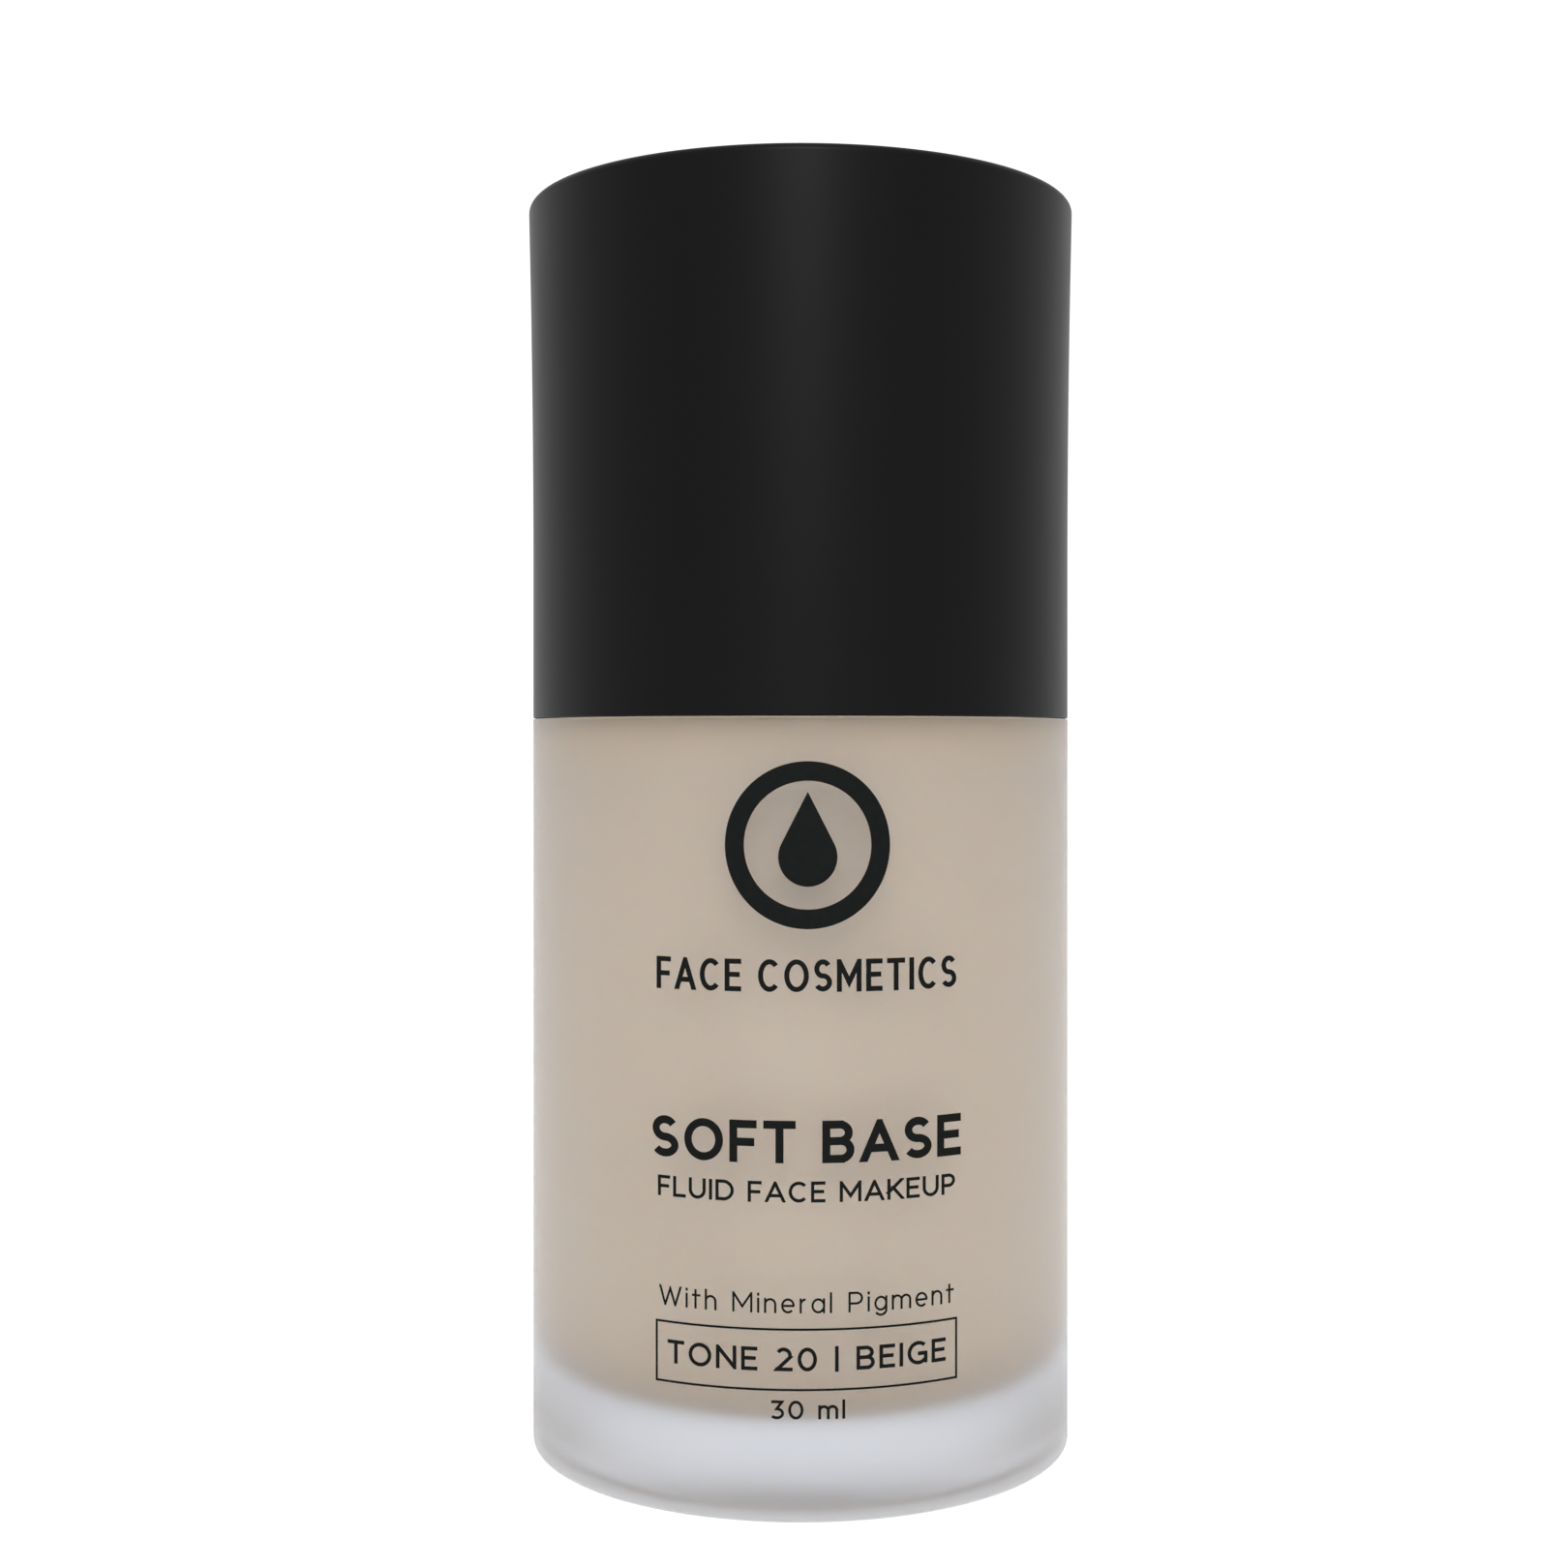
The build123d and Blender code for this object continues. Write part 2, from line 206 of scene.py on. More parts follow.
# ---------------------------------------------------------------- materials


class Finish:
    """A node material, with short ways to add what the finishes share."""

    def __init__(self, name):
        self.material = bpy.data.materials.new(name)
        self.material.use_nodes = True
        self.tree = self.material.node_tree
        self.bsdf = self.tree.nodes["Principled BSDF"]
        self.place = self.add("ShaderNodeTexCoord").outputs["Object"]

    def add(self, kind, **settings):
        """A new node of a kind."""
        node = self.tree.nodes.new(kind)
        for key, value in settings.items():
            setattr(node, key, value)
        return node

    def link(self, source, target):
        """Feeds a node's output to an input."""
        self.tree.links.new(source, target)

    def set(self, **values):
        """Fixed values of the main shader, with _ for a space in their names."""
        for key, value in values.items():
            self.bsdf.inputs[key.replace("_", " ")].default_value = value

    def noise(self, size_mm, detail=3.0, stretch=(1, 1, 1)):
        """Noise with features of about that size."""
        mapping = self.add("ShaderNodeMapping")
        mapping.inputs["Scale"].default_value = stretch
        self.link(self.place, mapping.inputs["Vector"])
        node = self.add("ShaderNodeTexNoise")
        node.inputs["Scale"].default_value = 1 / (size_mm * MM)
        node.inputs["Detail"].default_value = detail
        self.link(mapping.outputs["Vector"], node.inputs["Vector"])
        return node.outputs["Fac"]

    def spread(self, source, low, high, from_low=0.3, from_high=0.7):
        """Maps a source to the values between low and high."""
        node = self.add("ShaderNodeMapRange")
        node.inputs["From Min"].default_value = from_low
        node.inputs["From Max"].default_value = from_high
        node.inputs["To Min"].default_value = low
        node.inputs["To Max"].default_value = high
        self.link(source, node.inputs["Value"])
        return node.outputs["Result"]

    def blend(self, factor, first, second):
        """A colour between two, by a factor. Each is a colour or another node's output."""
        node = self.add("ShaderNodeMix", data_type="RGBA")
        self.link(factor, node.inputs["Factor"])
        for end, colour in (("A", first), ("B", second)):
            if isinstance(colour, tuple):
                node.inputs[end].default_value = (*colour, 1)
            else:
                self.link(colour, node.inputs[end])
        return node.outputs["Result"]

    def height(self):
        """The height above the foot, in metres."""
        node = self.add("ShaderNodeSeparateXYZ")
        self.link(self.place, node.inputs["Vector"])
        return node.outputs["Z"]

    def times(self, first, second):
        """The product of two factors."""
        node = self.add("ShaderNodeMath", operation="MULTIPLY")
        self.link(first, node.inputs[0])
        self.link(second, node.inputs[1])
        return node.outputs["Value"]

    def mixed(self, factor, first, second):
        """A shader between two, by a factor."""
        node = self.add("ShaderNodeMixShader")
        self.link(factor, node.inputs["Fac"])
        self.link(first, node.inputs[1])
        self.link(second, node.inputs[2])
        return node.outputs["Shader"]

    def bump(self, source, depth_mm):
        """Relief of about that depth."""
        node = self.add("ShaderNodeBump")
        node.inputs["Distance"].default_value = depth_mm * MM
        self.link(source, node.inputs["Height"])
        self.link(node.outputs["Normal"], self.bsdf.inputs["Normal"])


def satin_black(name, colour, rough, shine):
    """Fine spark-eroded moulding texture, with a faint unevenness from handling."""
    finish = Finish(name)
    finish.set(Specular_IOR_Level=shine)
    tone = finish.spread(finish.noise(6.0, 4.0), 0, 1)
    lighter = tuple(channel * 1.08 for channel in colour)
    finish.link(finish.blend(tone, colour, lighter), finish.bsdf.inputs["Base Color"])
    wear = finish.spread(finish.noise(3.0, 5.0, (1, 1, 0.4)), rough - 0.015, rough + 0.015)
    finish.link(wear, finish.bsdf.inputs["Roughness"])
    finish.bump(finish.noise(0.12, 2.0), 0.002)
    return finish.material


def moulded(name, colour, rough, see_through=0.0):
    """Plain moulded plastic with slight flow marks."""
    finish = Finish(name)
    finish.set(Transmission_Weight=see_through, IOR=1.5)
    tone = finish.spread(finish.noise(2.5, 3.0, (1, 1, 0.3)), 0, 1)
    darker = tuple(channel * 0.94 for channel in colour)
    finish.link(finish.blend(tone, colour, darker), finish.bsdf.inputs["Base Color"])
    patchy = finish.spread(finish.noise(1.2, 4.0), rough - 0.04, rough + 0.04)
    finish.link(patchy, finish.bsdf.inputs["Roughness"])
    finish.bump(finish.noise(0.25, 2.0), 0.0015)
    return finish.material


def steel(name, rough):
    """Drawn or ground stainless steel."""
    finish = Finish(name)
    finish.set(Metallic=1.0)
    marks = finish.noise(0.15, 4.0)
    tone = finish.spread(marks, 0, 1)
    shade = finish.blend(tone, (0.58, 0.57, 0.56), (0.70, 0.69, 0.68))
    finish.link(shade, finish.bsdf.inputs["Base Color"])
    finish.link(finish.spread(marks, rough * 0.7, rough * 1.3), finish.bsdf.inputs["Roughness"])
    finish.bump(marks, 0.0008)
    return finish.material


def frosted_glass():
    """Acid-etched soda-lime glass: light scatters as it enters, over a fine even grain.

    The glass scatters more, and whiter, towards the edge that it stands on. Above that, the thick base
    has
    painted shade: its colour is darker where it turns away from view.
    """
    finish = Finish("frosted_glass")
    finish.set(Transmission_Weight=1.0, IOR=1.52)
    etched = finish.spread(finish.noise(0.5, 4.0), 0.36, 0.42)
    finish.link(etched, finish.bsdf.inputs["Roughness"])
    finish.bump(finish.noise(0.08, 3.0), 0.002)
    height = finish.height()
    # Painted shade: between the foot's edge and the cavity, the base's colour darkens where it turns
    # away from view.
    turned_away = finish.add("ShaderNodeLayerWeight").outputs["Facing"]
    below_cavity = finish.spread(height, 1.0, 0.0, 3.4 * MM, 6.2 * MM)
    above_edge = finish.spread(height, 0.0, 1.0, 0.8 * MM, 2.6 * MM)
    shade = finish.times(below_cavity, above_edge)
    shade = finish.times(shade, finish.spread(turned_away, 0.0, 1.0, 0.08, 0.5))
    tone = finish.blend(shade, (0.965, 0.972, 0.985), (0.66, 0.63, 0.61))
    finish.link(tone, finish.bsdf.inputs["Base Color"])
    # Towards the edge that it stands on, the glass turns whiter, with more white diffuse and translucent
    # scatter.
    white = (0.91, 0.94, 0.99, 1)
    whiter_band = 2.0 * MM
    veil = finish.add("ShaderNodeBsdfTranslucent")
    veil.inputs["Color"].default_value = white
    white_diffuse = finish.add("ShaderNodeBsdfDiffuse")
    white_diffuse.inputs["Color"].default_value = white
    white_diffuse_share = finish.spread(height, 0.45, 0.0, 0.0, whiter_band)
    veiled = finish.spread(height, 0.42, 0.05, 0.0, whiter_band)
    haze = finish.mixed(white_diffuse_share, veil.outputs["BSDF"], white_diffuse.outputs["BSDF"])
    surface = finish.mixed(veiled, finish.bsdf.outputs["BSDF"], haze)
    output = finish.tree.nodes["Material Output"]
    finish.link(surface, output.inputs["Surface"])
    body = finish.add("ShaderNodeVolumeAbsorption")
    body.inputs["Color"].default_value = (0.14, 0.20, 0.33, 1)
    body.inputs["Density"].default_value = 11.5
    finish.link(body.outputs["Volume"], output.inputs["Volume"])
    return finish.material


def clear_glass():
    """The fire-polished inside of the bottle, and its underside."""
    finish = Finish("clear_glass")
    finish.set(Base_Color=(0.97, 0.978, 0.985, 1), Transmission_Weight=1.0, IOR=1.52)
    waves = finish.spread(finish.noise(4.0, 2.0), 0.02, 0.06)
    finish.link(waves, finish.bsdf.inputs["Roughness"])
    finish.bump(finish.noise(5.0, 1.0), 0.02)
    return finish.material


def foundation():
    """Opaque beige emulsion that light just enters, with the faintest streaks of pigment.

    It has painted shade near the bottom, where the cavity's rounded corner gets less light, and painted
    light at its top, which lifts the shade under the overcap.
    """
    finish = Finish("foundation_beige")
    finish.set(Subsurface_Weight=0.7, Subsurface_Scale=0.001, Subsurface_Radius=(1.6, 1.0, 0.6))
    streaks = finish.spread(finish.noise(5.0, 4.0, (1, 1, 0.35)), 0, 1)
    streaked = finish.blend(streaks, (0.611, 0.512, 0.403), (0.595, 0.498, 0.391))
    # Painted shade low down and painted light at the top, both by height.
    painted_shade_low = finish.spread(finish.height(), 1.0, 0.0, 5.0 * MM, 12.5 * MM)
    painted_light_top = finish.spread(finish.height(), 0.0, 1.0, (FILL_Z - 4.0) * MM, FILL_Z * MM)
    with_painted_shade = finish.blend(painted_shade_low, streaked, (0.53, 0.426, 0.324))
    tone = finish.blend(painted_light_top, with_painted_shade, (0.77, 0.602, 0.43))
    finish.link(tone, finish.bsdf.inputs["Base Color"])
    sheen = finish.spread(finish.noise(2.0, 3.0), 0.34, 0.42)
    finish.link(sheen, finish.bsdf.inputs["Roughness"])
    finish.bump(finish.noise(3.0, 2.0), 0.01)
    return finish.material


def ink():
    """Screen ink: near black, satin, with the mesh's faint weave."""
    finish = Finish("print_ink")
    finish.set(Specular_IOR_Level=0.03)
    tone = finish.spread(finish.noise(0.4, 3.0), 0, 1)
    shade = finish.blend(tone, (0.0048, 0.0056, 0.0053), (0.0062, 0.0070, 0.0067))
    finish.link(shade, finish.bsdf.inputs["Base Color"])
    sheen = finish.spread(finish.noise(0.2, 3.0), 0.45, 0.55)
    finish.link(sheen, finish.bsdf.inputs["Roughness"])
    finish.bump(finish.noise(0.06, 2.0), 0.002)
    return finish.material


GLASS = frosted_glass()
GLASS_INSIDE = clear_glass()
BEIGE = foundation()
INK = ink()
CAP_BLACK = satin_black("overcap_black", (0.0010, 0.0010, 0.0011), 0.41, 0.096)
LINER_BLACK = satin_black("liner_black", (0.006, 0.006, 0.0064), 0.5, 0.24)
PUMP_BLACK = satin_black("pump_black", (0.004, 0.004, 0.0043), 0.24, 0.3)
CLOSURE_BLACK = satin_black("closure_black", (0.007, 0.007, 0.0074), 0.42, 0.28)
NATURAL = moulded("natural_plastic", (0.72, 0.73, 0.72), 0.38, 0.35)
TUBE_CLEAR = moulded("clear_tube", (0.80, 0.82, 0.82), 0.28, 0.7)
SEAL_WHITE = moulded("white_seal", (0.74, 0.74, 0.72), 0.45)
FOAM = moulded("foam_gasket", (0.64, 0.64, 0.62), 0.8)
SPRING_STEEL = steel("spring_steel", 0.22)
BALL_STEEL = steel("ball_steel", 0.08)


# ---------------------------------------------------------------- glass, contents and overcap


def thread_swell(radius, height, angle):
    """The neck's thread, as a rounded ridge that dies away at its ends."""
    if radius > NECK_R + 0.01 or not THREAD_LOW - 2 < height < NECK_TOP - 0.6:
        return radius
    best = 0.0
    for turn in range(3):
        around = angle / math.tau + turn
        if not 0 <= around <= TURNS:
            continue
        away = abs(height - THREAD_LOW - PITCH * around)
        flank = (THREAD_ROOT - away) / (THREAD_ROOT - THREAD_CREST)
        fade = min(1, around * 360 / THREAD_RUN_OUT, (TURNS - around) * 360 / THREAD_RUN_OUT)
        eased = max(0.0, min(1.0, flank))
        best = max(best, eased * eased * (3 - 2 * eased) * max(0.0, fade) ** 0.5)
    return radius + THREAD_RISE * best


def glass_outline():
    """The bottle's outer wall from the axis below to the lip, then the cavity's wall back down."""
    outer = outline(
        (0, RECESS),
        (FOOT_RING_R - 0.8, RECESS, 0.4),
        (FOOT_RING_R, 0, 0.2),
        (BODY_R, 0, 0.35),
        (BODY_R, BODY_H, 0.06),
        (STEP_R, BODY_H, 0.2),
        (STEP_R, SHOULDER_Z, 1.2),
        (NECK_R, SHOULDER_Z, 0.8),
        (NECK_R, NECK_TOP, 0.45),
        (NECK_BORE_R, NECK_TOP, 0.3),
        (NECK_BORE_R, CEILING_Z + ROOF_RISE, 1.2),
        (CAVITY_R, CEILING_Z, 1.6),
        (CAVITY_R, BASE_T + 0.2, CAVITY_CORNER_R),
        (0, BASE_T),
    )
    points = []
    for here, ahead in zip(outer, outer[1:] + outer[:1]):
        on_neck = abs(here.x - NECK_R) < 0.01 and abs(ahead.x - NECK_R) < 0.01
        points += run_between(here, ahead, 0.14) if on_neck else [here]
    return points


def build_glass():
    """The bottle, frosted outside and clear inside and below."""
    bottle = lathe("bottle_glass", glass_outline(), GLASS, thread_swell)
    bottle.data.materials.append(GLASS_INSIDE)
    for face in bottle.data.polygons:
        middle = face.center / MM
        reach = math.hypot(middle.x, middle.y)
        in_cavity = reach < CAVITY_R + 0.01 and middle.z < CEILING_Z + ROOF_RISE + 0.05
        in_neck = reach < NECK_BORE_R + 0.6
        on_ring = middle.z < 0.01
        if (in_cavity or in_neck) and not on_ring:
            face.material_index = 1
    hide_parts("glass_bottle")
    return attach(bottle, "bottle")


def build_liquid():
    """The foundation, up to its level, with room for the pump. It wets the glass with no air between."""
    wet = CAVITY_R + LIQUID_BITE
    cavity = outline(
        (0, BASE_T - LIQUID_BITE),
        (wet, BASE_T + 0.2 - LIQUID_BITE, CAVITY_CORNER_R),
        (wet, CEILING_Z + LIQUID_BITE, 1.6),
        (wet - 1.0, CEILING_Z + 0.08),
        (0, CEILING_Z + 0.08),
    )
    wetted = [point for point in cavity if point.y <= FILL_Z]
    rim = wetted[-1].x
    level = FILL_Z - 0.1
    meniscus = [(rim - 0.25, FILL_Z - 0.06), (rim - 0.8, level)]
    barrel_foot = BARREL_ROOM[-1][1]
    well = [(BARREL_ROOM[0][0], level), *BARREL_ROOM]
    well += [(TUBE_ROOM_R, barrel_foot), (TUBE_ROOM_R, WELL_FLOOR), (0, WELL_FLOOR)]
    points = wetted + [Vector(point) for point in meniscus + well]
    liquid = lathe("liquid_fill", points, BEIGE)
    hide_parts("foundation_liquid")
    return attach(liquid, "bottle")


def overcap_outline():
    """A straight skirt, then one long arc out to the top edge, and the plain inside."""
    flare_low = CAP_Z + CAP_STRAIGHT
    rise = CAP_TOP - 0.5 - flare_low
    flare = CAP_TOP_R - BODY_R
    flare_r = (rise**2 + flare**2) / (2 * flare)
    points = outline(
        (0, CAP_TOP - CAP_DISH[-1][1]),
        (0, CAP_CEILING),
        (CAP_BORE_R, CAP_CEILING, 0.4),
        (CAP_BORE_R, CAP_Z, 0.2),
        (BODY_R, CAP_Z, 0.1),
        (BODY_R, flare_low),
    )
    for step in range(1, FLARE_STEPS):
        angle = math.asin(rise / flare_r) * step / FLARE_STEPS
        reach = BODY_R + flare_r * (1 - math.cos(angle))
        points.append(Vector((reach, flare_low + flare_r * math.sin(angle))))
    corner = outline(
        (CAP_TOP_R - 0.02, CAP_TOP - 2.0),
        (CAP_TOP_R, CAP_TOP, 0.5),
        (10.0, CAP_TOP),
        (10.0, CAP_TOP - 2.0),
    )
    points += corner[1:-2]
    points += [Vector((reach, CAP_TOP - depth)) for reach, depth in CAP_DISH[:-1]]
    return points


def build_overcap():
    """The overcap's shell, with its flare."""
    shell = lathe("overcap", overcap_outline(), CAP_BLACK)
    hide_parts("overcap_shell")
    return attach(shell, "overcap")


# ---------------------------------------------------------------- front print

# Each letter is (width, strokes) in a box one capital high. A stroke is a list of points, or an arc
# ("arc", centre x, centre y, radius x, radius y, first degree, last degree), along the pen's middle.
LETTERS = {
    "A": (0.80, [[(0, 0), (0.5, 1), (1, 0)], [(0.2, 0.28), (0.8, 0.28)]]),
    "B": (
        0.64,
        [
            [(0, 0), (0, 1)],
            [(0, 1), (0.55, 1)],
            [(0, 0.52), (0.6, 0.52)],
            [(0, 0), (0.6, 0)],
            ("arc", 0.55, 0.76, 0.38, 0.24, -90, 90),
            ("arc", 0.6, 0.26, 0.4, 0.26, -90, 90),
        ],
    ),
    "C": (0.74, [("arc", 0.55, 0.5, 0.55, 0.5, 45, 315)]),
    "D": (
        0.76,
        [
            [(0, 0), (0, 1)],
            [(0, 1), (0.4, 1)],
            [(0, 0), (0.4, 0)],
            ("arc", 0.4, 0.5, 0.6, 0.5, -90, 90),
        ],
    ),
    "E": (0.54, [[(0, 0), (0, 1)], [(0, 0), (1, 0)], [(0, 0.52), (0.88, 0.52)], [(0, 1), (1, 1)]]),
    "F": (0.52, [[(0, 0), (0, 1)], [(0, 0.48), (0.88, 0.48)], [(0, 1), (1, 1)]]),
    "G": (
        0.78,
        [("arc", 0.55, 0.5, 0.55, 0.5, 48, 332), [(1, 0.06), (1, 0.46)], [(0.62, 0.46), (1, 0.46)]],
    ),
    "I": (0.0, [[(0, 0), (0, 1)]]),
    "K": (0.66, [[(0, 0), (0, 1)], [(0, 0.34), (0.95, 1)], [(0.34, 0.58), (1, 0)]]),
    "L": (0.52, [[(0, 0), (0, 1)], [(0, 0), (1, 0)]]),
    "M": (0.90, [[(0, 0), (0, 1), (0.5, 0.25), (1, 1), (1, 0)]]),
    "N": (0.74, [[(0, 0), (0, 1), (1, 0), (1, 1)]]),
    "O": (0.88, [("arc", 0.5, 0.5, 0.5, 0.5, 0, 360)]),
    "P": (
        0.62,
        [
            [(0, 0), (0, 1)],
            [(0, 1), (0.55, 1)],
            [(0, 0.42), (0.55, 0.42)],
            ("arc", 0.55, 0.71, 0.45, 0.29, -90, 90),
        ],
    ),
    "S": (
        0.60,
        [
            ("arc", 0.5, 0.745, 0.46, 0.255, 30, 270),
            ("arc", 0.5, 0.255, 0.5, 0.235, -150, 90),
        ],
    ),
    "T": (0.64, [[(0.5, 0), (0.5, 1)], [(0, 1), (1, 1)]]),
    "U": (
        0.72,
        [[(0, 0.42), (0, 1)], [(1, 0.42), (1, 1)], ("arc", 0.5, 0.42, 0.5, 0.42, 180, 360)],
    ),
    "W": (1.14, [[(0, 1), (0.25, 0), (0.5, 0.9), (0.75, 0), (1, 1)]]),
    "0": (0.66, [("arc", 0.5, 0.5, 0.5, 0.5, 0, 360)]),
    "2": (
        0.58,
        [
            ("arc", 0.48, 0.7, 0.46, 0.3, -25, 150),
            [(0.9, 0.58), (0.0, 0.0)],
            [(0, 0), (1, 0)],
        ],
    ),
    "3": (
        0.58,
        [
            ("arc", 0.45, 0.28, 0.55, 0.28, -140, 90),
            [(0.45, 0.56), (0.92, 1)],
            [(0.08, 1), (0.92, 1)],
        ],
    ),
    "|": (0.0, [[(0, -0.05), (0, 1.05)]]),
    "a": (0.56, [[(1, 0), (1, 0.7)], ("arc", 0.5, 0.35, 0.5, 0.35, 0, 360)]),
    "e": (0.56, [("arc", 0.5, 0.35, 0.5, 0.35, 0, 315), [(0.0, 0.35), (0.96, 0.35)]]),
    "g": (
        0.56,
        [
            [(1, 0), (1, 0.7)],
            ("arc", 0.5, 0.35, 0.5, 0.35, 0, 360),
            ("arc", 0.5, 0, 0.5, 0.28, 210, 360),
        ],
    ),
    "h": (0.50, [[(0, 0), (0, 1.02)], [(1, 0), (1, 0.42)], ("arc", 0.5, 0.42, 0.5, 0.28, 0, 180)]),
    "i": (0.0, [[(0, 0), (0, 0.7)], [(0, 0.94), (0, 0.98)]]),
    "l": (0.0, [[(0, 0), (0, 1.02)]]),
    "m": (
        0.92,
        [
            [(0, 0), (0, 0.7)],
            [(0.5, 0), (0.5, 0.45)],
            [(1, 0), (1, 0.45)],
            ("arc", 0.25, 0.45, 0.25, 0.25, 0, 180),
            ("arc", 0.75, 0.45, 0.25, 0.25, 0, 180),
        ],
    ),
    "n": (0.50, [[(0, 0), (0, 0.7)], [(1, 0), (1, 0.42)], ("arc", 0.5, 0.42, 0.5, 0.28, 0, 180)]),
    "r": (0.24, [[(0, 0), (0, 0.7)], ("arc", 1.0, 0.4, 1.0, 0.3, 90, 180)]),
    "t": (0.34, [[(0.4, 0), (0.4, 0.95)], [(0, 0.68), (1, 0.68)]]),
}


def pen_stroke(path, pen, lengthen):
    """The quads that a flat pen leaves along a path of points, mitred where the path turns."""
    path = [Vector(point) for point in path]
    if (path[0] - path[-1]).length < 1e-6:
        path = [path[-2]] + path + [path[1]]
    else:
        first = (path[0] - path[1]).normalized()
        last = (path[-1] - path[-2]).normalized()
        path[0] += first * lengthen
        path[-1] += last * lengthen
        path = [path[0] + first] + path + [path[-1] + last]
    sides = []
    for back, point, ahead in zip(path, path[1:], path[2:]):
        leaving = (ahead - point).normalized()
        along = ((point - back).normalized() + leaving).normalized()
        across = Vector((-along.y, along.x)) * (pen / 2 / along.dot(leaving))
        sides.append((point + across, point - across))
    quads = []
    for (left, right), (next_left, next_right) in zip(sides, sides[1:]):
        quads.append([left, right, next_right, next_left])
    return quads


def arc_path(centre_x, centre_y, radius_x, radius_y, first, last):
    """Points along an arc, ellipse or ring."""
    length = max(radius_x, radius_y) * math.radians(abs(last - first))
    steps = max(8, math.ceil(length / PEN_CHORD))
    path = []
    for step in range(steps + 1):
        angle = math.radians(first + (last - first) * step / steps)
        path.append((centre_x + radius_x * math.cos(angle), centre_y + radius_y * math.sin(angle)))
    return path


def clipped(quad, low, high):
    """A quad cut off level between two heights."""
    for limit, keep_above in ((low, True), (high, False)):
        kept = []
        for here, ahead in zip(quad, quad[1:] + quad[:1]):
            inside = here.y >= limit if keep_above else here.y <= limit
            next_inside = ahead.y >= limit if keep_above else ahead.y <= limit
            if inside:
                kept.append(here)
            if inside != next_inside:
                kept.append(here.lerp(ahead, (limit - here.y) / (ahead.y - here.y)))
        quad = kept
    return quad


def letter_faces(letter, left, base, height, pen, narrow):
    """The faces of one letter, in a box that may be narrowed."""
    width, strokes = LETTERS[letter]
    width *= narrow
    faces = []

    def place(x, y):
        return Vector((left + pen / 2 + x * width * height, base + pen / 2 + y * (height - pen)))

    for stroke in strokes:
        if stroke[0] == "arc":
            centre = place(stroke[1], stroke[2])
            reach_x = stroke[3] * width * height
            reach_y = stroke[4] * (height - pen)
            faces += pen_stroke(arc_path(*centre, reach_x, reach_y, *stroke[5:]), pen, 0)
            continue
        ends = [place(*point) for point in stroke]
        low = min(point.y for point in ends) - pen / 2
        high = max(point.y for point in ends) + pen / 2
        for quad in pen_stroke(ends, pen, pen / 2 if is_square(stroke) else pen):
            faces.append(clipped(quad, low, high))
    return [face for face in faces if len(face) > 2]


def is_square(stroke):
    """Whether a stroke is one upright or level line."""
    (x0, y0), (x1, y1) = stroke[0], stroke[-1]
    return len(stroke) == 2 and (x0 == x1 or y0 == y1)


def text_faces(text, base, height, weight, span, narrow=1.0):
    """One centred line of text, tracked out to its span. weight is the pen's width over the height."""
    pen = weight * height
    widths = []
    for letter in text:
        inner = WORD_GAP if letter == " " else LETTERS[letter][0] + weight / narrow
        widths.append(inner * narrow * height)
    gap = (span - sum(widths)) / (len(text) - 1)
    left = -span / 2
    faces = []
    for letter, width in zip(text, widths):
        if letter != " ":
            faces += letter_faces(letter, left, base, height, pen, narrow)
        left += width + gap
    return faces


def frame_faces(width, low, high, pen):
    """A rectangle drawn with a thin pen."""
    half = width / 2
    sides = [
        [(-half, low), (half, low)],
        [(-half, high), (half, high)],
        [(-half, low), (-half, high)],
        [(half, low), (half, high)],
    ]
    faces = []
    for side in sides:
        faces += pen_stroke(side, pen, pen / 2)
    return faces


def emblem_faces(low, high, pen):
    """A plain mark: a drop standing in an open ring."""
    middle = (low + high) / 2
    radius = (high - low - pen) / 2
    faces = pen_stroke(arc_path(0, middle, radius, radius, 0, 360), pen, 0)
    drop_r = radius * 0.40
    centre_y = middle - radius * 0.16
    tip = centre_y + drop_r * 2.2
    lean = math.degrees(math.acos(drop_r / (tip - centre_y)))
    drop = arc_path(0, centre_y, drop_r, drop_r, 90 + lean, 450 - lean)
    faces.append([Vector(point) for point in drop] + [Vector((0, tip))])
    return faces


def wrap_print(name, faces, radius):
    """Joins overlapping faces into one thin solid of ink that follows the glass."""
    points, loops = [], []
    for face in faces:
        loops.append(list(range(len(points), len(points) + len(face))))
        points += [Vector(point) for point in face]
    low = min(point.y for point in points) - 1
    high = max(point.y for point in points) + 1
    reach = max(abs(point.x) for point in points)
    cuts = []
    for column in range(-math.ceil(reach / COLUMN), math.ceil(reach / COLUMN) + 1):
        cuts.append((len(points), len(points) + 1))
        points += [Vector((column * COLUMN, low)), Vector((column * COLUMN, high))]
    flat, _, triangles, _, _, sources = geometry.delaunay_2d_cdt(points, cuts, loops, 0, 1e-5)
    inked = [list(triangle) for triangle, source in zip(triangles, sources) if source]
    used = sorted({index for triangle in inked for index in triangle})
    order = {index: place for place, index in enumerate(used)}
    count = len(used)
    verts = []
    for skin in (radius + INK_T, radius - 0.01):
        for index in used:
            angle = flat[index].x / radius
            verts.append((skin * math.sin(angle), -skin * math.cos(angle), flat[index].y))
    solid = []
    edges = {}
    for triangle in inked:
        corners = [order[index] for index in triangle]
        solid.append(corners)
        solid.append([index + count for index in reversed(corners)])
        for start, end in zip(corners, corners[1:] + corners[:1]):
            edges[(start, end)] = True
    for start, end in edges:
        if (end, start) not in edges:
            solid.append([end, start, start + count, end + count])
    piece = add_mesh(name, verts, solid, INK, 30.0)
    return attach(piece, "bottle")


